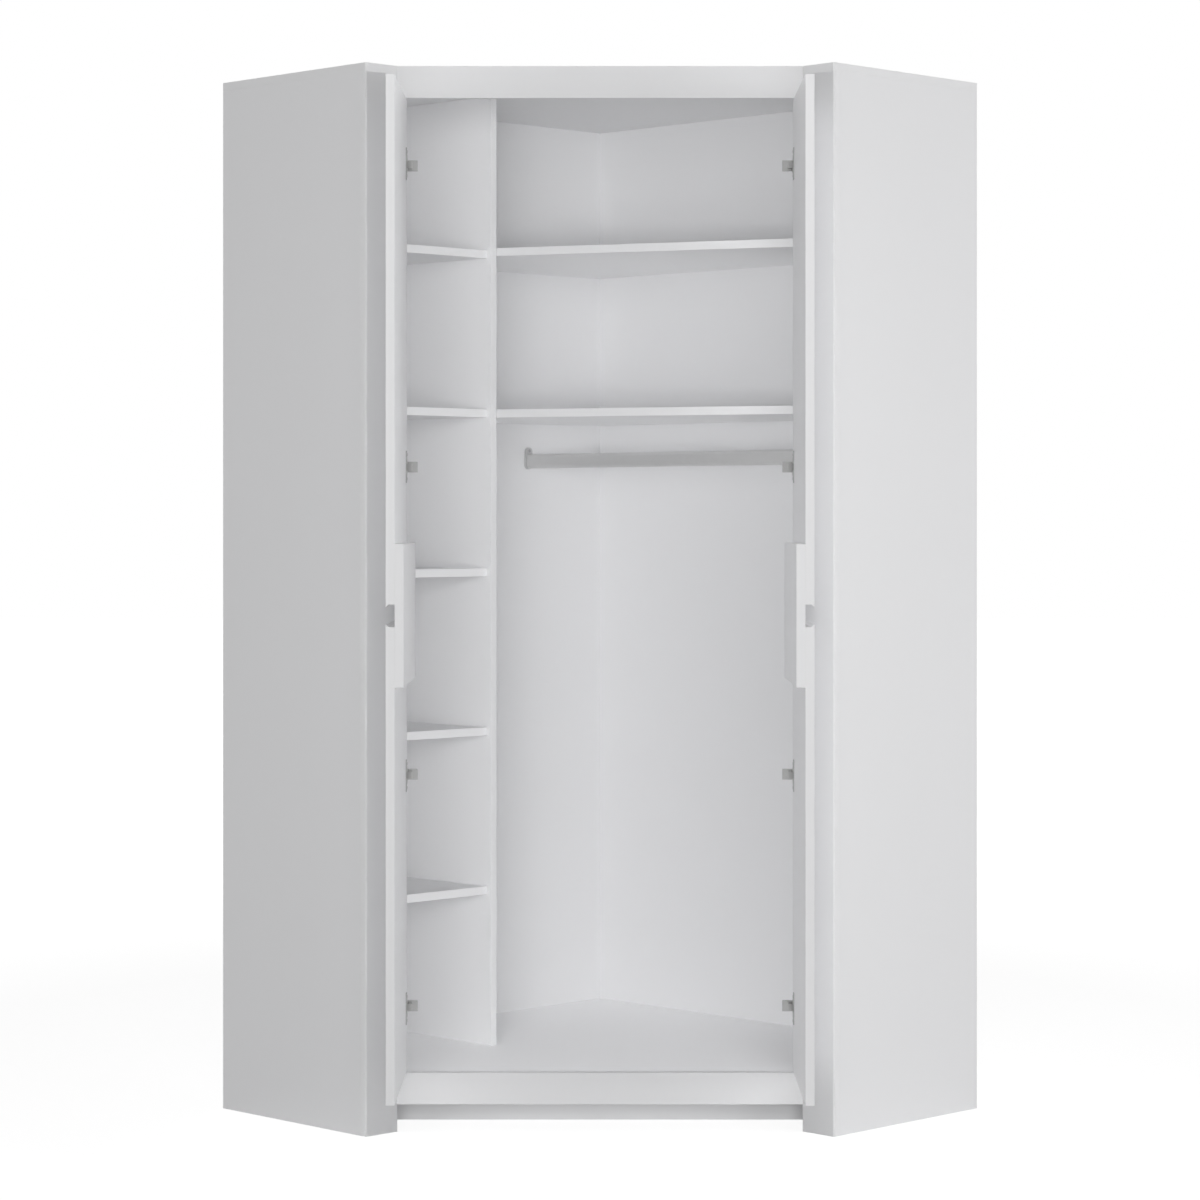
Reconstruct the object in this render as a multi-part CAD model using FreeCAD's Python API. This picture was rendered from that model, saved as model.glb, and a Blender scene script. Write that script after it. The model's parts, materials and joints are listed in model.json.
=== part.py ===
import FreeCAD, Part
import math
import os

from FreeCAD import Vector

# A corner wardrobe, in millimetres. The origin is the room corner on the floor, +Z is up and the
# front faces -Y. Each door stands open at a right angle, which is the rest position of its hinges.

# Carcass boards
height = 2000.0
wall_length = 1040.0
side_depth = 424.0
board = 16.0
back_board = 16.0
post_width = 78.0
post_chamfer = 3.0
fascia_height = 60.0
toe_height = 51.0
plinth_setback = 123.0
stile_reach = 85.0

# Partition and shelves
column_width = 400.0
partition_depth = 303.0
shelf_board = 16.0
shelf_setback = 11.0
wide_shelf_end_depth = 283.0
small_shelf_count = 5
shelf_pitch_share = 0.16754
upper_shelf_lift = 5.0

# Shelf dowels
dowel_radius = 4.0
dowel_length = 30.0
dowel_depth = 10.0
small_dowel_shares = (0.2, 0.8)
wide_dowel_shares = (0.35, 0.65)

# Hanging rail and its sockets
rail_height = 30.0
rail_width = 15.0
rail_wall = 1.5
rail_drop = 79.0
rail_off_wall = 217.5
socket_rise = 14.5
socket_depth = 6.0
socket_base = 2.0
socket_wall = 1.5

# Wall brackets
bracket_length = 40.0
bracket_leg = 40.0
bracket_thickness = 2.0
bracket_hole_radius = 3.0

# Doors
door_board = 16.0
hinge_gap = 2.0
meeting_gap = 4.0
door_top_gap = 2.5
door_bottom_gap = 1.5
groove_place_share = 0.4746
groove_mouth = 30.0
groove_inside = 40.0
handle_board = 16.0
handle_height = 254.0

# Hinge cups
hinge_place_shares = (0.066, 0.305, 0.622, 0.933)
cup_radius = 17.5
cup_depth = 12.0
cup_floor = 1.0
cup_wall = 1.0
cup_offset = 12.9
flange_rim = 1.0
flange_thickness = 1.6
flange_height = 60.0
flange_width = 20.0
flange_shift = 9.5
cup_screw_spacing = 45.0

# Hinge pins, arms and plates
pin_radius = 1.2
pin_length = 19.0
pin_depth = 7.8
pin_clearance = 0.05
open_clearance = 1.2
knuckle_radius = 2.0
knuckle_height = 12.0
pocket_clearance = 0.5
swing_clearance = 0.8
stile_clearance = 1.4
web_thickness = 3.0
neck_width = 5.6
arm_height = 20.0
arm_reach = 27.5
arm_depth = 8.0
arm_length = 50.0
arm_width = 12.0
plate_thickness = 2.0
plate_setback = 2.0
plate_length = 48.0
plate_height = 16.0
wing_height = 48.0
wing_width = 12.0
wing_screw_spacing = 32.0
fixing_screw_share = 0.7

# Screws, all of one size
screw_radius = 1.75
screw_length = 13.0
screw_head_radius = 3.5
screw_head = 1.2

# Every cut runs past the faces that it opens by this much
overrun = 1.0

# Heights
left, right = -1, 1
up = Vector(0, 0, 1)
root2 = math.sqrt(2)
ceiling = height - board
floor_top = toe_height + fascia_height
opening_top = height - fascia_height
shelf_pitch = shelf_pitch_share * (ceiling - floor_top)
lower_shelf_top = floor_top + (small_shelf_count - 1) * shelf_pitch
upper_shelf_top = lower_shelf_top + shelf_pitch + upper_shelf_lift
door_low = floor_top + door_bottom_gap
door_high = opening_top - door_top_gap
door_height = door_high - door_low
groove_middle = door_low + groove_place_share * door_height
hinge_levels = [door_low + share * door_height for share in hinge_place_shares]

# Plan of the front: its face, and half the width between the posts
front = -(wall_length - post_width + side_depth) / root2
half_opening = (wall_length - post_width - side_depth) / root2
post_start = wall_length - post_width
post_back = side_depth - board
fascia_back = side_depth - board * root2

# Plan of the inside
side_face = wall_length - board
column_face = side_face - column_width
partition_face = column_face - board
shelf_front = back_board + partition_depth - shelf_setback

# Plan of a hinge: the pin, and the door about it
pin_to_outside = door_board - pin_depth
pin_inset = open_clearance + pin_to_outside - hinge_gap
pin_x = half_opening - open_clearance - pin_to_outside
pin_y = front + pin_to_outside
door_width = half_opening - hinge_gap - meeting_gap / 2
door_face = pin_x - pin_depth
hinge_edge = pin_y + pin_inset
cup_middle = pin_inset + cup_offset
edge_sweep = math.hypot(pin_inset, max(pin_depth, pin_to_outside))
rim_sweep = math.hypot(cup_radius + flange_rim - cup_offset, pin_depth + flange_thickness)
neck_start = rim_sweep + swing_clearance
neck_end = neck_start + neck_width
arm_front = max(edge_sweep, rim_sweep) + swing_clearance
stile_face = pin_x + edge_sweep + stile_clearance
plate_face = pin_x - stile_face + plate_thickness
plate_front = arm_front + plate_setback


# Plan point along one back wall and off it, both measured from the room corner
def by_wall(along, off, side):
    return side * (along - off) / root2, -(along + off) / root2


# Plan point inward of a hinge pin and behind it, on the carcass
def by_pin(inward, back, side):
    return side * (pin_x - inward), pin_y + back


# Plan point along an open door from its hinge edge, and deep into it from its inner face
def by_door(along, deep, side):
    return side * (door_face + deep), hinge_edge - along


# Solid over a plan outline
def prism(outline, low, high):
    corners = [Vector(x, y, low) for x, y in outline]
    return Part.Face(Part.makePolygon(corners + corners[:1])).extrude(up * (high - low))


# Box between two pairs of plan lines
def block(frame, first, second, low, high, side):
    a, b = first
    c, d = second
    return prism([frame(p, q, side) for p, q in ((a, c), (b, c), (b, d), (a, d))], low, high)


# Bar centred on a height
def bar(frame, first, second, middle, tall, side):
    return block(frame, first, second, middle - tall / 2, middle + tall / 2, side)


# Outline that is the same on both sides of the middle, from the half on one side
def both_sides(half):
    other = [(-x, y) for x, y in reversed(half)]
    return half + other


# Round-ended upright outline, standing on the ground line and drawn out along +Y
def stadium(width, tall, depth):
    radius = width / 2
    low, high = radius, tall - radius
    sides = [Part.makeLine(Vector(-radius, 0, low), Vector(-radius, 0, high)),
             Part.Arc(Vector(-radius, 0, high), Vector(0, 0, tall), Vector(radius, 0, high)).toShape(),
             Part.makeLine(Vector(radius, 0, high), Vector(radius, 0, low)),
             Part.Arc(Vector(radius, 0, low), Vector(), Vector(-radius, 0, low)).toShape()]
    return Part.Face(Part.Wire(sides)).extrude(Vector(0, depth, 0))


# Shape drawn along +Y, turned to run along the right wall and set at a place by the left wall
def on_left_wall(shape, along, off, level, turn=0):
    shape = shape.copy()
    shape.rotate(Vector(), up, turn - 135)
    shape.translate(Vector(*by_wall(along, off, left), level))
    return shape


# Screw whose head lies on a face at the base and whose shank runs along the heading
def screw(base, heading):
    head = Part.makeCylinder(screw_head_radius, screw_head, base - heading * screw_head, heading)
    shank = Part.makeCylinder(screw_radius, screw_length, base, heading)
    return head.fuse(shank).removeSplitter()


# Dowel along a wall heading, bedded in the panel by its depth and in the shelf by the rest
def dowel(face, heading, level):
    return Part.makeCylinder(dowel_radius, dowel_length, face - heading * dowel_depth + up * level, heading)


def wall_heading(along, off, side):
    return Vector(*by_wall(along, off, side), 0)


# Shelves, with the dowels in both of their ends
def small_shelf(top):
    ends = (column_face, side_face)
    shelf = block(by_wall, ends, (back_board, shelf_front), top - shelf_board, top, left)
    dowels = []
    for share in small_dowel_shares:
        off = back_board + share * (shelf_front - back_board)
        for face, inward in zip(ends, (1, -1)):
            seat = Vector(*by_wall(face, off, left), 0)
            dowels.append(dowel(seat, wall_heading(inward, 0, left), top - shelf_board / 2))
    return shelf.cut(Part.Compound(dowels)), dowels


def wide_shelf(top):
    outline = [(back_board, back_board), (partition_face, back_board), (partition_face, shelf_front),
               (back_board + wide_shelf_end_depth, side_face), (back_board, side_face)]
    shelf = prism([by_wall(along, off, left) for along, off in outline], top - shelf_board, top)
    dowels = []
    for share in wide_dowel_shares:
        off = back_board + share * (shelf_front - back_board)
        along = back_board + share * wide_shelf_end_depth
        seats = ((partition_face, off, wall_heading(-1, 0, left)),
                 (along, side_face, wall_heading(0, -1, left)))
        for p, q, heading in seats:
            dowels.append(dowel(Vector(*by_wall(p, q, left), 0), heading, top - shelf_board / 2))
    return shelf.cut(Part.Compound(dowels)), dowels


# Angle bracket under the ceiling, its screw, and the hole through it and the wall behind
def wall_bracket(side):
    middle = side_face - column_width / 2
    span = (middle - bracket_length / 2, middle + bracket_length / 2)
    upright = block(by_wall, span, (back_board, back_board + bracket_thickness),
                    ceiling - bracket_leg, ceiling, side)
    shelf_leg = block(by_wall, span, (back_board, back_board + bracket_leg),
                      ceiling - bracket_thickness, ceiling, side)
    hole_length = back_board + bracket_thickness + 2 * overrun
    hole_base = Vector(*by_wall(middle, -overrun, side), ceiling - bracket_leg / 2)
    hole = Part.makeCylinder(bracket_hole_radius, hole_length, hole_base, wall_heading(0, 1, side))
    seat = Vector(*by_wall(middle, back_board + bracket_leg / 2, side), ceiling - bracket_thickness)
    fixing = screw(seat, up)
    return upright.fuse(shelf_leg).removeSplitter().cut(Part.Compound([hole, fixing])), fixing, hole


# Socket that stands on a wall face, closed round the rail's end, with room above it for a screw
def rail_socket():
    outside = stadium(rail_width + 2 * socket_wall, socket_height, socket_depth)
    slot = stadium(rail_width, rail_height, socket_depth)
    slot.translate(Vector(0, socket_base, socket_wall))
    return outside.cut(slot)


def rail_tube(length):
    inside = stadium(rail_width - 2 * rail_wall, rail_height - 2 * rail_wall, length)
    inside.translate(Vector(0, 0, rail_wall))
    return stadium(rail_width, rail_height, length).cut(inside)


# Door panel on one side of the finger groove: its groove edge leans back behind a lip
def door_panel(end, groove_side, side):
    lip = groove_middle + groove_side * groove_mouth / 2
    inside = groove_middle + groove_side * groove_inside / 2
    bevel = (groove_inside - groove_mouth) / 2
    profile = [(0, inside), (door_board - bevel, inside), (door_board, lip), (door_board, end), (0, end)]
    corners = [Vector(*by_door(0, deep, side), level) for deep, level in profile]
    return Part.Face(Part.makePolygon(corners + corners[:1])).extrude(Vector(0, -door_width, 0))


# Cup of a hinge: a boss let into the door, a flange on its face and a pocket for the arm
def hinge_cup(level, side):
    outward = Vector(side, 0, 0)
    seat = Vector(*by_door(cup_middle, 0, side), level)
    boss = Part.makeCylinder(cup_radius, cup_depth, seat, outward)
    flange_seat = seat - outward * flange_thickness
    rim = Part.makeCylinder(cup_radius + flange_rim, flange_thickness, flange_seat, outward)
    ear_middle = cup_middle + flange_shift
    ear_span = (ear_middle - flange_width / 2, ear_middle + flange_width / 2)
    ears = bar(by_door, ear_span, (-flange_thickness, 0), level, flange_height, side)
    pocket_height = knuckle_height + 2 * pocket_clearance
    pocket_near = pin_inset - knuckle_radius - pocket_clearance
    pocket_far = cup_middle + math.sqrt(cup_radius ** 2 - (pocket_height / 2) ** 2) - cup_wall
    pocket_span = (-flange_thickness - overrun, cup_depth - cup_floor)
    pocket = bar(by_door, (pocket_near, pocket_far), pocket_span, level, pocket_height, side)
    hole_length = pin_length + 2 * pocket_clearance
    hole_base = Vector(*by_pin(0, 0, side), level - hole_length / 2)
    hole = Part.makeCylinder(pin_radius + pin_clearance, hole_length, hole_base)
    screws = []
    for end in (-1, 1):
        base = Vector(*by_door(ear_middle, -flange_thickness, side), level + end * cup_screw_spacing / 2)
        screws.append(screw(base, outward))
    cup = boss.fuse([rim, ears]).removeSplitter().cut(Part.Compound([pocket, hole] + screws))
    return cup, boss, screws


def hinge_pin(level, side):
    return Part.makeCylinder(pin_radius, pin_length, Vector(*by_pin(0, 0, side), level - pin_length / 2))


# Arm of a hinge: a leg on the plate, a cross piece, and a neck that hooks round to the pin
def hinge_arm(level, side, pin):
    leg_span = (plate_face, plate_face + arm_width)
    leg = bar(by_pin, leg_span, (arm_front, arm_front + arm_length), level, arm_height, side)
    cross = bar(by_pin, (plate_face, arm_reach), (arm_front, arm_front + arm_depth), level, arm_height, side)
    neck_span = (-knuckle_radius, arm_front + arm_depth)
    neck = bar(by_pin, (neck_start, neck_end), neck_span, level, knuckle_height, side)
    web_span = (-knuckle_radius, web_thickness - knuckle_radius)
    web = bar(by_pin, (0, neck_end), web_span, level, knuckle_height, side)
    knuckle_base = Vector(*by_pin(0, 0, side), level - knuckle_height / 2)
    knuckle = Part.makeCylinder(knuckle_radius, knuckle_height, knuckle_base)
    fixing_back = arm_front + fixing_screw_share * arm_length
    fixing = screw(Vector(*by_pin(plate_face + arm_width, fixing_back, side), level), Vector(side, 0, 0))
    return leg.fuse([cross, neck, web, knuckle]).removeSplitter().cut(pin).cut(fixing), fixing


# Plate of a hinge, a cross screwed to the stile through its two wings
def hinge_plate(level, side, fixing):
    depth = (plate_face - plate_thickness, plate_face)
    stem = bar(by_pin, depth, (plate_front, plate_front + plate_length), level, plate_height, side)
    middle = plate_front + plate_length / 2
    wing_span = (middle - wing_width / 2, middle + wing_width / 2)
    wings = bar(by_pin, depth, wing_span, level, wing_height, side)
    screws = []
    for end in (-1, 1):
        base = Vector(*by_pin(plate_face, middle, side), level + end * wing_screw_spacing / 2)
        screws.append(screw(base, Vector(side, 0, 0)))
    return stem.fuse(wings).removeSplitter().cut(Part.Compound(screws + [fixing])), screws


# Hidden board behind a post, seated on the post's back face, that carries the hinge plates
def hinge_stile(side, screws):
    seat = -post_back * root2
    outer_face = stile_face + board
    back = front + stile_reach
    outline = [(stile_face, seat - stile_face), (outer_face, seat - outer_face),
               (outer_face, back), (stile_face, back)]
    stile = prism([(side * x, y) for x, y in outline], floor_top, opening_top)
    return stile.cut(Part.Compound(screws))


nodes = {}
carcass_screws = []
side_dowels = {left: [], right: []}
partition_dowels = []
shelf_dowels = []

# Shelves, and the dowels shared out among the panels that they enter
for count in range(small_shelf_count):
    shelf, dowels = small_shelf(floor_top + (count + 1) * shelf_pitch)
    nodes["small_shelf_%d" % (count + 1)] = shelf
    partition_dowels += dowels[0::2]
    side_dowels[left] += dowels[1::2]
    shelf_dowels += dowels
for name, top in (("lower_wide_shelf", lower_shelf_top), ("upper_wide_shelf", upper_shelf_top)):
    nodes[name], dowels = wide_shelf(top)
    partition_dowels += dowels[0::2]
    side_dowels[right] += dowels[1::2]
    shelf_dowels += dowels
nodes["shelf_dowels"] = Part.Compound(shelf_dowels)

partition = block(by_wall, (partition_face, column_face), (back_board, back_board + partition_depth),
                  floor_top, ceiling, left)
nodes["partition"] = partition.cut(Part.Compound(partition_dowels))

# Hanging rail between the left back panel and the right side panel
rail_low = lower_shelf_top - shelf_board - rail_drop - rail_height / 2
rail_along = back_board + rail_off_wall
socket_low = rail_low - socket_wall
socket_height = socket_wall + rail_height + socket_rise
socket_screw_level = rail_low + rail_height + socket_rise / 2
rail_length = side_face - back_board - 2 * socket_base
nodes["hanging_rail"] = on_left_wall(rail_tube(rail_length), rail_along, back_board + socket_base, rail_low)
socket_screws = []
for name, off, inward, turn in (("left", back_board, 1, 0), ("right", side_face, -1, 180)):
    socket = on_left_wall(rail_socket(), rail_along, off, socket_low, turn)
    seat = Vector(*by_wall(rail_along, off + inward * socket_depth, left), socket_screw_level)
    socket_screws.append(screw(seat, wall_heading(0, -inward, left)))
    nodes[name + "_rail_socket"] = socket.cut(socket_screws[-1])
carcass_screws += socket_screws

# Pieces that both sides have: wall brackets, panels, posts, hinges and doors
brackets = []
bracket_screws = []
hinge_pins = []
for name, side in (("left", left), ("right", right)):
    bracket, bracket_screw, bracket_hole = wall_bracket(side)
    brackets.append(bracket)
    bracket_screws.append(bracket_screw)

    panel = block(by_wall, (side_face, wall_length), (0, post_back), 0, ceiling, side)
    nodes[name + "_side_panel"] = panel.cut(Part.Compound(side_dowels[side] + socket_screws))
    wall_start = back_board if side == left else 0
    wall = block(by_wall, (wall_start, side_face), (0, back_board), 0, ceiling, side)
    nodes[name + "_back_panel"] = wall.cut(Part.Compound([bracket_hole] + socket_screws))
    post = [(post_start, post_back), (wall_length, post_back), (wall_length, side_depth - post_chamfer),
            (wall_length - post_chamfer, side_depth), (post_start, side_depth)]
    nodes[name + "_front_post"] = prism([by_wall(p, q, side) for p, q in post], 0, ceiling)

    upper = door_panel(door_high, 1, side)
    lower = door_panel(door_low, -1, side)
    plate_screws = []
    cup_screws = []
    for count, level in enumerate(hinge_levels):
        ending = "_%d" % (count + 1)
        cup, boss, screws = hinge_cup(level, side)
        nodes[name + "_hinge_cup" + ending] = cup
        upper = upper.cut(Part.Compound([boss] + screws))
        lower = lower.cut(Part.Compound([boss] + screws))
        cup_screws += screws
        hinge_pins.append(hinge_pin(level, side))
        nodes[name + "_hinge_arm" + ending], fixing = hinge_arm(level, side, hinge_pins[-1])
        nodes[name + "_hinge_plate" + ending], screws = hinge_plate(level, side, fixing)
        plate_screws += screws
        carcass_screws += screws + [fixing]
    nodes[name + "_hinge_stile"] = hinge_stile(side, plate_screws)
    nodes[name + "_door_upper_panel"] = upper
    nodes[name + "_door_lower_panel"] = lower
    nodes[name + "_door_handle_board"] = bar(by_door, (0, door_width), (-handle_board, 0), groove_middle,
                                             handle_height, side)
    nodes[name + "_cup_screws"] = Part.Compound(cup_screws)
carcass_screws += bracket_screws
nodes["wall_brackets"] = Part.Compound(brackets)
nodes["hinge_pins"] = Part.Compound(hinge_pins)
nodes["carcass_screws"] = Part.Compound(carcass_screws)

# Top and floor, notched round the fascias, which run between the posts' ends
top_half = [(0, 0), (wall_length, 0), (wall_length, side_depth - post_chamfer),
            (wall_length - post_chamfer, side_depth), (post_start, side_depth), (post_start, fascia_back)]
floor_half = [(back_board, back_board), (side_face, back_board), (side_face, post_back),
              (post_start, post_back), (post_start, fascia_back)]
top_outline = both_sides([by_wall(p, q, left) for p, q in top_half])
floor_outline = both_sides([by_wall(p, q, left) for p, q in floor_half])
fascia_half = [(-half_opening - board, front + board), (-half_opening, front)]
nodes["top_panel"] = prism(top_outline[:-1], ceiling, height).cut(Part.Compound(bracket_screws))
nodes["bottom_panel"] = prism(floor_outline[:-1], floor_top - board, floor_top)
nodes["top_fascia"] = prism(both_sides(fascia_half), opening_top, height)
nodes["bottom_fascia"] = prism(both_sides(fascia_half), toe_height, floor_top)

# Plinth across the toe space, with its ends mitred to the side panels
plinth_front = front + plinth_setback
plinth_end = side_face * root2 + plinth_front
plinth_half = [(-plinth_end - board, plinth_front + board), (-plinth_end, plinth_front)]
nodes["plinth_board"] = prism(both_sides(plinth_half), 0, floor_top - board)

os.makedirs("parts", exist_ok=True)
for name, shape in nodes.items():
    shape.exportStep("parts/" + name + ".step")
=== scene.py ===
import json
import math

import bmesh
import bpy
from mathutils import Matrix, Vector


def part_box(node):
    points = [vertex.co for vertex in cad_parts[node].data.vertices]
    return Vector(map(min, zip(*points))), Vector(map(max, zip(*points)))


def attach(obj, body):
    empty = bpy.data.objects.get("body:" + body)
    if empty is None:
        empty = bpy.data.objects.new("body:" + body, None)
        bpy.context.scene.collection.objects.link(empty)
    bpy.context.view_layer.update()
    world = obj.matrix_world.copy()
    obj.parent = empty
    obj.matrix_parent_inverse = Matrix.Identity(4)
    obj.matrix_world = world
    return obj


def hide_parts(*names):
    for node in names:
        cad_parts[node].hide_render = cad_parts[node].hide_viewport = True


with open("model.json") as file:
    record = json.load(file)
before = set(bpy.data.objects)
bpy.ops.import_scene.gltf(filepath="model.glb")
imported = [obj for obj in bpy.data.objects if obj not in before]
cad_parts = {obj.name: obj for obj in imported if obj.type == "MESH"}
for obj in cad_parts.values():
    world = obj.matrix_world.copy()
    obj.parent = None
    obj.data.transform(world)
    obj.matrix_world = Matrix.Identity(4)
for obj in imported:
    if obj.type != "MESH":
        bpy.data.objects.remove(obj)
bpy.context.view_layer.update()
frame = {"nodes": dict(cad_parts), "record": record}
scene = bpy.context.scene
scene.view_settings.view_transform = "Standard"
nodeBody = {node: body for body, names in frame["record"]["behaviour"]["bodies"].items() for node in names}
nodeSlot = {part["node"]: part["material_slot"] for part in frame["record"]["subparts"]}
print("frame loaded:", len(frame["nodes"]), "nodes")


# One socket of a shader tree, so that maths on values reads as an expression
class Wire:
    def __init__(self, tree, socket=None):
        self.tree = tree
        self.socket = socket

    # Any node: its type, its settings, then the values or links of its sockets
    def make(self, kind, settings=None, inputs=None, out=0):
        node = self.tree.nodes.new(kind)
        for name, value in (settings or {}).items():
            setattr(node, name, value)
        for name, value in (inputs or {}).items():
            if isinstance(value, Wire):
                self.tree.links.new(value.socket, node.inputs[name])
            else:
                node.inputs[name].default_value = value
        return Wire(self.tree, node.outputs[out])

    def maths(self, operation, first, second):
        return self.make("ShaderNodeMath", {"operation": operation}, {0: first, 1: second})

    def __add__(self, other):
        return self.maths("ADD", self, other)

    def __radd__(self, other):
        return self.maths("ADD", other, self)

    def __sub__(self, other):
        return self.maths("SUBTRACT", self, other)

    def __rsub__(self, other):
        return self.maths("SUBTRACT", other, self)

    def __mul__(self, other):
        return self.maths("MULTIPLY", self, other)

    def __rmul__(self, other):
        return self.maths("MULTIPLY", other, self)


def newMaterial(name):
    material = bpy.data.materials.new(name)
    material.use_nodes = True
    material.node_tree.nodes.clear()
    return material, Wire(material.node_tree)


def endMaterial(tree, surface):
    output = tree.tree.nodes.new("ShaderNodeOutputMaterial")
    tree.tree.links.new(surface.socket, output.inputs["Surface"])


def noise(tree, place, scale, detail):
    return tree.make("ShaderNodeTexNoise", None, {"Vector": place, "Scale": scale, "Detail": detail})


def mixColour(tree, amount, first, second):
    return tree.make("ShaderNodeMix", {"data_type": "RGBA"}, {"Factor": amount, 6: first, 7: second}, 2)


# White melamine: an even print with a faint cloud, under a fine pearl emboss
whiteFace = {
    "colour": (0.897, 0.898, 0.909, 1.0),
    "shade": (0.886, 0.887, 0.897, 1.0),
    "roughness": 0.42,
    "roughnessSwing": 0.08,
    "cloudScale": 5.0,  # per metre
    "pearlScale": 1400.0,
    "pearlDepth": 0.00004,
}
# Edge band: the same white, a little less rough, under a shallower and coarser emboss
whiteEdge = {
    "colour": (0.895, 0.896, 0.906, 1.0),
    "shade": (0.887, 0.888, 0.897, 1.0),
    "roughness": 0.38,
    "roughnessSwing": 0.06,
    "cloudScale": 14.0,
    "pearlScale": 420.0,
    "pearlDepth": 0.00002,
}


def boardMaterial(name, look):
    material, tree = newMaterial(name)
    place = tree.make("ShaderNodeTexCoord", out="Object")
    cloud = noise(tree, place, look["cloudScale"], 4.0)
    pearl = noise(tree, place, look["pearlScale"], 2.0)
    colour = mixColour(tree, cloud, look["shade"], look["colour"])
    roughness = look["roughness"] + (cloud - 0.5) * look["roughnessSwing"]
    bump = tree.make("ShaderNodeBump", None, {"Strength": 0.25, "Distance": look["pearlDepth"], "Height": pearl})
    endMaterial(tree, tree.make("ShaderNodeBsdfPrincipled", None, {
        "Base Color": colour, "Roughness": roughness, "Normal": bump, "IOR": 1.45}))
    return material


# Plated steel, with a brushed grain that is drawn out along one direction
nickel = {"colour": (0.50, 0.50, 0.495, 1.0), "shade": (0.42, 0.42, 0.42, 1.0), "metallic": 1.0, "roughness": 0.34,
          "roughnessSwing": 0.16, "grainScale": 900.0, "grainStretch": (1.0, 1.0, 0.06), "turn": 0.0}
satin = {"colour": (0.87, 0.87, 0.865, 1.0), "shade": (0.80, 0.80, 0.797, 1.0), "metallic": 0.45, "roughness": 0.52,
         "roughnessSwing": 0.14, "grainScale": 700.0, "grainStretch": (0.02, 1.0, 1.0), "turn": math.pi / 4}
cast = {"colour": (0.74, 0.74, 0.74, 1.0), "shade": (0.66, 0.66, 0.665, 1.0), "metallic": 0.45, "roughness": 0.50,
        "roughnessSwing": 0.10, "grainScale": 1100.0, "grainStretch": (1.0, 1.0, 1.0), "turn": 0.0}
zinc = {"colour": (0.60, 0.60, 0.60, 1.0), "shade": (0.48, 0.48, 0.485, 1.0), "metallic": 1.0, "roughness": 0.30,
        "roughnessSwing": 0.20, "grainScale": 500.0, "grainStretch": (1.0, 1.0, 1.0), "turn": 0.0}


def steelMaterial(name, look):
    material, tree = newMaterial(name)
    place = tree.make("ShaderNodeTexCoord", out="Object")
    along = tree.make("ShaderNodeMapping", None, {
        "Vector": place, "Rotation": (0.0, 0.0, look["turn"]), "Scale": look["grainStretch"]})
    grain = noise(tree, along, look["grainScale"], 3.0)
    patch = noise(tree, place, 60.0, 3.0)
    colour = mixColour(tree, grain * 0.6 + patch * 0.4, look["shade"], look["colour"])
    roughness = look["roughness"] + (grain - 0.5) * look["roughnessSwing"]
    bump = tree.make("ShaderNodeBump", None, {"Strength": 0.2, "Distance": 0.00002, "Height": grain})
    endMaterial(tree, tree.make("ShaderNodeBsdfPrincipled", None, {
        "Base Color": colour, "Metallic": look["metallic"], "Roughness": roughness, "Normal": bump}))
    return material


# Plain beech of the dowels
beech = {"colour": (0.72, 0.56, 0.38, 1.0), "shade": (0.56, 0.40, 0.24, 1.0), "roughness": 0.6, "grainScale": 260.0}


def beechMaterial(look):
    material, tree = newMaterial("beechDowel")
    place = tree.make("ShaderNodeTexCoord", out="Object")
    along = tree.make("ShaderNodeMapping", None, {"Vector": place, "Scale": (0.3, 0.3, 2.0)})
    grain = noise(tree, along, look["grainScale"], 5.0)
    colour = mixColour(tree, grain, look["shade"], look["colour"])
    bump = tree.make("ShaderNodeBump", None, {"Strength": 0.3, "Distance": 0.0001, "Height": grain})
    endMaterial(tree, tree.make("ShaderNodeBsdfPrincipled", None, {
        "Base Color": colour, "Roughness": look["roughness"] + (grain - 0.5) * 0.2, "Normal": bump}))
    return material


melamine = boardMaterial("whiteMelamine", whiteFace)
edgeBand = boardMaterial("whiteEdgeBand", whiteEdge)
hingeNickel = steelMaterial("hingeNickel", nickel)
railSatin = steelMaterial("railSatin", satin)
socketCast = steelMaterial("socketCast", cast)
screwZinc = steelMaterial("screwZinc", zinc)
dowelBeech = beechMaterial(beech)
print("materials made")


# A merged copy of a CAD node, with its flat faces whole again
def copyOf(node):
    bm = bmesh.new()
    bm.from_mesh(frame["nodes"][node].data)
    bmesh.ops.remove_doubles(bm, verts=bm.verts[:], dist=1e-6)
    bmesh.ops.dissolve_limit(bm, angle_limit=math.radians(0.5), verts=bm.verts[:], edges=bm.edges[:])
    for face in bm.faces:
        face.smooth = False
    return bm


def sharpEdges(bm, shortest):
    return [edge for edge in bm.edges if edge.is_manifold and edge.calc_face_angle() > math.radians(30)
            and edge.calc_length() > shortest]


# Rounds edges over, and shades only the narrow new faces smooth
def roundOver(bm, edges, radius, segments):
    made = bmesh.ops.bevel(bm, geom=edges, offset=radius, offset_type="OFFSET", segments=segments, profile=0.5,
                           affect="EDGES", clamp_overlap=True, material=-1)
    for face in made["faces"]:
        face.smooth = face.calc_area() < radius * face.calc_perimeter()


# A finished piece that stands for a CAD node on its body
dressed = {}


def standFor(bm, node, ending, materials):
    mesh = bpy.data.meshes.new(node + ending)
    bm.to_mesh(mesh)
    bm.free()
    for material in materials:
        mesh.materials.append(material)
    piece = bpy.data.objects.new(node + ending, mesh)
    scene.collection.objects.link(piece)
    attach(piece, nodeBody[node])
    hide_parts(node)
    dressed[node] = piece
    return piece


# Boards: long edges eased, wide faces in melamine and narrow ones in edge band
boards = {"easedEdge": 0.0004, "segments": 2, "shortestEdge": 0.012}
doorEdges = {"easedEdge": 0.0005, "segments": 3, "shortestEdge": 0.004}


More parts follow.
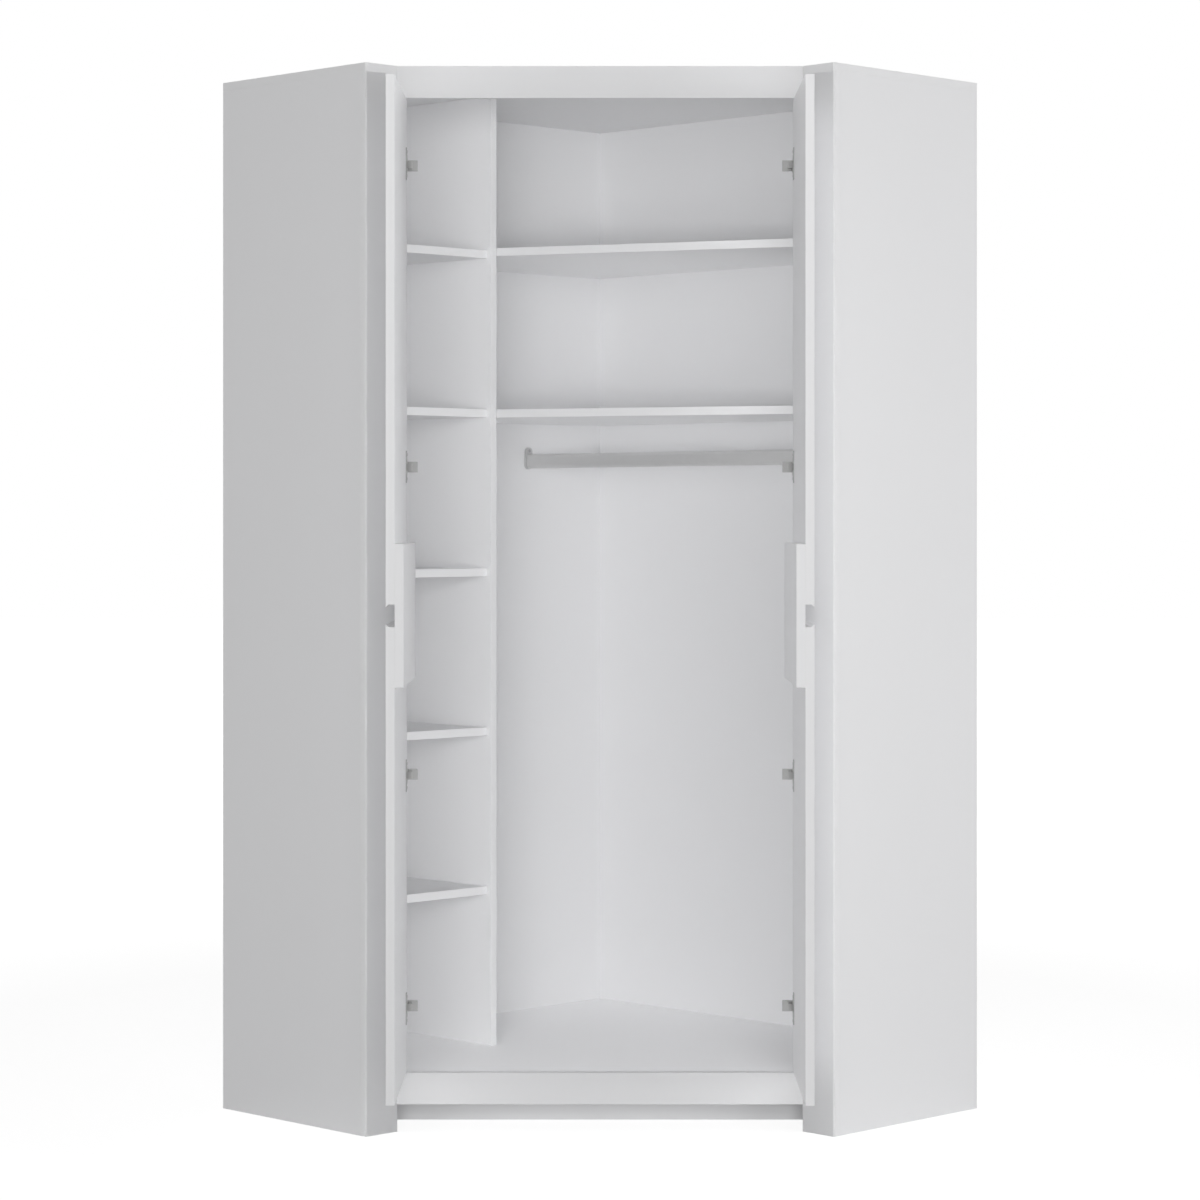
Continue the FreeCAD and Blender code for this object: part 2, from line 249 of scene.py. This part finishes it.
def dressBoard(node, look):
    bm = copyOf(node)
    broad = max(bm.faces, key=lambda face: face.calc_area()).normal.copy()
    roundOver(bm, sharpEdges(bm, look["shortestEdge"]), look["easedEdge"], look["segments"])
    for face in bm.faces:
        face.material_index = 0 if abs(face.normal.dot(broad)) > 0.9 else 1
    standFor(bm, node, ".board", [melamine, edgeBand])


for node in frame["nodes"]:
    if nodeSlot[node] == "white_board":
        dressBoard(node, doorEdges if "_door_" in node else boards)
print("boards dressed")

# Hinge cups: the flange gets round ends, and its rim a soft edge
cups = {"earRadius": 0.004, "softEdge": 0.0003, "shortestEdge": 0.0009}
for node in frame["nodes"]:
    if "_hinge_cup_" in node:
        bm = copyOf(node)
        low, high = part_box(node)
        corners = [edge for edge in sharpEdges(bm, 0.001)
                   if abs((edge.verts[0].co - edge.verts[1].co).normalized().x) > 0.99
                   and all(min(vert.co.z - low[2], high[2] - vert.co.z) < 1e-5 for vert in edge.verts)]
        roundOver(bm, corners, cups["earRadius"], 5)
        roundOver(bm, sharpEdges(bm, cups["shortestEdge"]), cups["softEdge"], 2)
        standFor(bm, node, ".cup", [hingeNickel])

# Hinge arms and plates: pressed steel with rounded folds
arms = {"fold": 0.0012, "segments": 3, "shortestEdge": 0.0018}
plates = {"softEdge": 0.0003, "shortestEdge": 0.0015}
for node in frame["nodes"]:
    if "_hinge_arm_" in node:
        bm = copyOf(node)
        roundOver(bm, sharpEdges(bm, arms["shortestEdge"]), arms["fold"], arms["segments"])
        standFor(bm, node, ".arm", [hingeNickel])
    if "_hinge_plate_" in node:
        bm = copyOf(node)
        roundOver(bm, sharpEdges(bm, plates["shortestEdge"]), plates["softEdge"], 2)
        standFor(bm, node, ".plate", [hingeNickel])

# Rail sockets and wall brackets
fittings = {"softEdge": 0.0004, "shortestEdge": 0.0012}
for node in ("left_rail_socket", "right_rail_socket", "wall_brackets"):
    bm = copyOf(node)
    roundOver(bm, sharpEdges(bm, fittings["shortestEdge"]), fittings["softEdge"], 2)
    standFor(bm, node, ".fitting", [socketCast if "rail" in node else hingeNickel])
print("fittings dressed")

# Pan-head screws with a cross recess, one on every screw of the CAD model
screws = {"headRadius": 0.0035, "headHeight": 0.0012, "shankRadius": 0.00175, "length": 0.013,
          "slotWidth": 0.0009, "slotReach": 0.0042, "slotDepth": 0.0007, "steps": 20}


def screwShape(look):
    bm = bmesh.new()
    rim, top, shank = look["headRadius"], look["headHeight"], look["shankRadius"]
    profile = [(0, top), (rim * 0.66, top * 0.96), (rim * 0.88, top * 0.75), (rim, top * 0.3), (rim, 0),
               (shank, 0), (shank, shank - look["length"]), (0, -look["length"])]
    chain = [bm.verts.new((across, 0, level)) for across, level in profile]
    edges = [bm.edges.new(pair) for pair in zip(chain, chain[1:])]
    bmesh.ops.spin(bm, geom=chain + edges, axis=(0, 0, 1), cent=(0, 0, 0), angle=math.tau, steps=look["steps"],
                   use_merge=True)
    bmesh.ops.remove_doubles(bm, verts=bm.verts[:], dist=1e-6)
    half, reach = look["slotWidth"] / 2, look["slotReach"] / 2
    for across in ((1, 0, 0), (0, 1, 0)):
        for offset in (-reach, -half, half, reach):
            crown = [face for face in bm.faces if face.calc_center_median().z > top * 0.9]
            parts = set(crown) | {edge for face in crown for edge in face.edges} | {
                vert for face in crown for vert in face.verts}
            bmesh.ops.bisect_plane(bm, geom=list(parts), plane_co=Vector(across) * offset, plane_no=across)
    slot = []
    for face in bm.faces:
        middle = face.calc_center_median()
        narrow, wide = sorted((abs(middle.x), abs(middle.y)))
        if middle.z > top * 0.9 and narrow < half and wide < reach:
            slot.append(face)
    sunk = bmesh.ops.extrude_face_region(bm, geom=slot)["geom"]
    bmesh.ops.delete(bm, geom=slot, context="FACES_ONLY")
    bmesh.ops.translate(bm, verts=[part for part in sunk if isinstance(part, bmesh.types.BMVert)],
                        vec=(0, 0, -look["slotDepth"]))
    bmesh.ops.recalc_face_normals(bm, faces=bm.faces[:])
    mesh = bpy.data.meshes.new("screwShape")
    bm.to_mesh(mesh)
    bm.free()
    return mesh


screwMesh = screwShape(screws)
for node in ("carcass_screws", "left_cup_screws", "right_cup_screws"):
    found = copyOf(node)
    heads = [(face.calc_center_median(), face.normal.copy()) for face in found.faces
             if face.calc_area() > 3.0 * screws["headRadius"] ** 2]
    found.free()
    bm = bmesh.new()
    for number, (middle, outward) in enumerate(heads):
        before = len(bm.verts)
        bm.from_mesh(screwMesh)
        bm.verts.ensure_lookup_table()
        turn = outward.to_track_quat("Z", "Y").to_matrix().to_4x4() @ Matrix.Rotation(0.7 * number, 4, "Z")
        seat = Matrix.Translation(middle - outward * screws["headHeight"])
        bmesh.ops.transform(bm, matrix=seat @ turn, verts=bm.verts[before:])
    print(node, len(heads), "screws")
    standFor(bm, node, ".screws", [screwZinc])

# Rail, pins and dowels keep their CAD shape, the round faces shaded smooth
for node, ending, material in (("hanging_rail", ".tube", railSatin), ("hinge_pins", ".pins", hingeNickel),
                               ("shelf_dowels", ".dowels", dowelBeech)):
    bm = copyOf(node)
    for face in bm.faces:
        face.smooth = len(face.verts) == 4
    standFor(bm, node, ending, [material]).data.set_sharp_from_angle(angle=math.radians(30))
print("screws, rail, pins and dowels dressed")

# Camera at the photograph's place: level, on the middle line, with the picture shifted down
photoView = {
    "place": (0.0, -7.2056, 1.1546),
    "lens": 99.5,
    "sensor": 36.0,
    "shiftY": -0.0696,
}
cameraData = bpy.data.cameras.new("photoCamera")
cameraData.lens = photoView["lens"]
cameraData.sensor_width = photoView["sensor"]
cameraData.shift_y = photoView["shiftY"]
camera = bpy.data.objects.new("photoCamera", cameraData)
camera.location = photoView["place"]
camera.rotation_euler = (math.pi / 2, 0, 0)
scene.collection.objects.link(camera)
scene.camera = camera

# Soft studio: a pale even sky and softboxes round the wardrobe, some of which light only the boards they name
smallShelves = [node for node in frame["nodes"] if node.startswith("small_shelf")]
doors = [node for node in frame["nodes"] if "_door_" in node]
rightDoor = [node for node in doors if node.startswith("right")]
rearSeen = ["left_back_panel", "right_back_panel", "left_side_panel", "right_side_panel", "top_panel",
            "top_fascia", "left_door_upper_panel", "right_door_upper_panel"]
studio = {
    "sky": 0.175,
    "panels": {
        "keyRight": {"place": (5.0, -5.0, 1.1), "aim": (0.0, -0.8, 1.0), "size": (3.0, 3.0), "watts": 88.0,
                     "except": ["left_front_post"]},
        "keySide": {"place": (6.0, -2.5, 1.1), "aim": (0.5, -0.7, 1.0), "size": (3.0, 3.0), "watts": 60.0,
                    "except": ["left_front_post"]},
        "keyLeft": {"place": (-5.0, -5.0, 1.1), "aim": (0.0, -0.8, 1.0), "size": (3.0, 3.0), "watts": 70.0,
                    "except": ["right_front_post"]},
        "front": {"place": (0.0, -8.0, 1.1), "aim": (0.0, -0.8, 1.0), "size": (3.0, 3.0), "watts": 144.0,
                  "except": doors},
        "doors": {"place": (0.0, -7.0, 5.0), "aim": (0.0, -1.2, 1.0), "size": (3.0, 3.0), "watts": 160.0,
                  "only": doors},
        "rear": {"place": (0.0, 4.0, 5.0), "aim": (0.0, -0.3, 1.0), "size": (4.0, 4.0), "watts": 300.0,
                 "only": rearSeen},
        "fascias": {"place": (0.0, -8.0, 0.8), "aim": (0.0, -0.9, 0.8), "size": (3.0, 3.0), "watts": 26.0,
                    "only": ["top_fascia", "bottom_fascia", "left_front_post", "right_front_post"]},
        "plinth": {"place": (0.0, -8.0, 0.3), "aim": (0.0, -0.9, 0.3), "size": (3.0, 0.5), "watts": 38.0,
                   "only": ["plinth_board"]},
        "rightDoor": {"place": (-6.0, -4.0, 1.1), "aim": (0.4, -1.2, 1.0), "size": (3.0, 3.0), "watts": 25.0,
                      "only": rightDoor},
        "wideShelves": {"place": (0.0, -8.0, 1.1), "aim": (0.0, -0.5, 1.0), "size": (3.0, 3.0), "watts": 124.0,
                        "only": ["lower_wide_shelf", "upper_wide_shelf"]},
        "smallShelves": {"place": (3.0, -7.2, 1.1), "aim": (-0.3, -0.6, 1.0), "size": (3.0, 3.0), "watts": 155.0,
                         "only": smallShelves},
        "leftBack": {"place": (0.0, -8.0, 1.0), "aim": (0.0, -0.5, 1.0), "size": (3.0, 1.0), "watts": 135.0,
                     "only": ["left_back_panel"]},
        "rightBack": {"place": (-1.2, -8.0, 1.0), "aim": (0.0, -0.5, 1.0), "size": (1.0, 1.0), "watts": 135.0,
                      "only": ["right_back_panel"]},
        "partition": {"place": (0.0, -8.0, 1.1), "aim": (0.0, -0.5, 1.0), "size": (3.0, 3.0), "watts": 190.0,
                      "only": ["partition"]},
        "column": {"place": (-0.516, -0.757, 1.047), "aim": (-0.016, -0.257, 1.047), "size": (0.28, 1.85),
                   "watts": 0.4, "only": ["partition"]},
        "columnBack": {"place": (-0.342, -0.823, 1.047), "aim": (-0.842, -0.323, 1.047), "size": (0.28, 1.85),
                       "watts": 1.8, "only": ["left_back_panel"]},
        "floor": {"place": (0.0, -4.6, 3.0), "aim": (0.0, -0.5, 1.0), "size": (2.0, 2.0), "watts": 104.0,
                  "only": ["bottom_panel"]},
        "ceiling": {"place": (0.05, -0.55, 1.72), "aim": (0.05, -0.55, 2.0), "size": (0.8, 0.7), "watts": 0.4,
                    "only": ["top_panel"]},
        "underUpper": {"place": (0.08, -0.5, 1.4), "aim": (0.08, -0.5, 1.6), "size": (0.8, 0.7), "watts": 0.57,
                       "only": ["upper_wide_shelf"]},
        "underLower": {"place": (0.08, -0.5, 1.0), "aim": (0.08, -0.5, 1.2), "size": (0.8, 0.7), "watts": 0.45,
                       "only": ["lower_wide_shelf"]},
    },
}
for name, panel in studio["panels"].items():
    lampData = bpy.data.lights.new(name, "AREA")
    lampData.energy = panel["watts"]
    lampData.shape = "RECTANGLE"
    lampData.size, lampData.size_y = panel["size"]
    lamp = bpy.data.objects.new(name, lampData)
    lamp.location = panel["place"]
    lamp.rotation_euler = (Vector(panel["aim"]) - Vector(panel["place"])).to_track_quat("-Z", "Y").to_euler()
    lamp.visible_camera = False
    lamp.visible_glossy = "key" in name
    scene.collection.objects.link(lamp)
    if "only" in panel or "except" in panel:
        linked = bpy.data.collections.new(name)
        for node in panel.get("only", []) + panel.get("except", []):
            linked.objects.link(dressed[node])
        for entry in linked.collection_objects:
            entry.light_linking.link_state = "INCLUDE" if "only" in panel else "EXCLUDE"
        lamp.light_linking.receiver_collection = linked


# 1 where the eye, a gloss or glass looks at the background, else 0
def lookedAt(tree):
    path = tree.make("ShaderNodeLightPath", out="Is Camera Ray")
    gloss = tree.make("ShaderNodeLightPath", out="Is Glossy Ray")
    through = tree.make("ShaderNodeLightPath", out="Is Transmission Ray")
    return tree.make("ShaderNodeMath", {"operation": "ADD", "use_clamp": True}, {0: path + gloss, 1: through})


world = bpy.data.worlds.new("studioSky")
world.use_nodes = True
world.node_tree.nodes.clear()
sky = Wire(world.node_tree)
strength = lookedAt(sky) * (1.0 - studio["sky"]) + studio["sky"]
background = sky.make("ShaderNodeBackground", None, {"Color": (1.0, 1.0, 1.0, 1.0), "Strength": strength})
skyOutput = world.node_tree.nodes.new("ShaderNodeOutputWorld")
world.node_tree.links.new(background.socket, skyOutput.inputs["Surface"])
scene.world = world

# Pale floor that looks white and keeps a faint shadow round the wardrobe
floorLook = {
    "size": 30.0,
    "colour": (0.9, 0.9, 0.9, 1.0),
    "shadowColour": (0.35, 0.35, 0.35, 1.0),
    "nearGlow": 0.88,
    "farGlow": 1.0,
    "fade": (1.5, 3.5),  # metres from the room corner
}
floorMesh = bpy.data.meshes.new("studioFloor")
bm = bmesh.new()
bmesh.ops.create_grid(bm, x_segments=1, y_segments=1, size=floorLook["size"])
bm.to_mesh(floorMesh)
bm.free()
floor = bpy.data.objects.new("studioFloor", floorMesh)
scene.collection.objects.link(floor)
floorMaterial, tree = newMaterial("studioFloor")
matte = tree.make("ShaderNodeBsdfDiffuse", None, {"Color": floorLook["colour"]})
shadowed = tree.make("ShaderNodeBsdfDiffuse", None, {"Color": floorLook["shadowColour"]})
reach = tree.make("ShaderNodeVectorMath", {"operation": "LENGTH"}, {0: tree.make("ShaderNodeTexCoord", out="Object")},
                  "Value")
level = tree.make("ShaderNodeMapRange", None, {
    "Value": reach, "From Min": floorLook["fade"][0], "From Max": floorLook["fade"][1],
    "To Min": floorLook["nearGlow"], "To Max": floorLook["farGlow"]})
glow = tree.make("ShaderNodeEmission", None, {"Color": (1.0, 1.0, 1.0, 1.0), "Strength": level})
paper = tree.make("ShaderNodeAddShader", None, {0: glow, 1: shadowed})
endMaterial(tree, tree.make("ShaderNodeMixShader", None, {0: lookedAt(tree), 1: matte, 2: paper}))
floorMesh.materials.append(floorMaterial)
print("studio set")
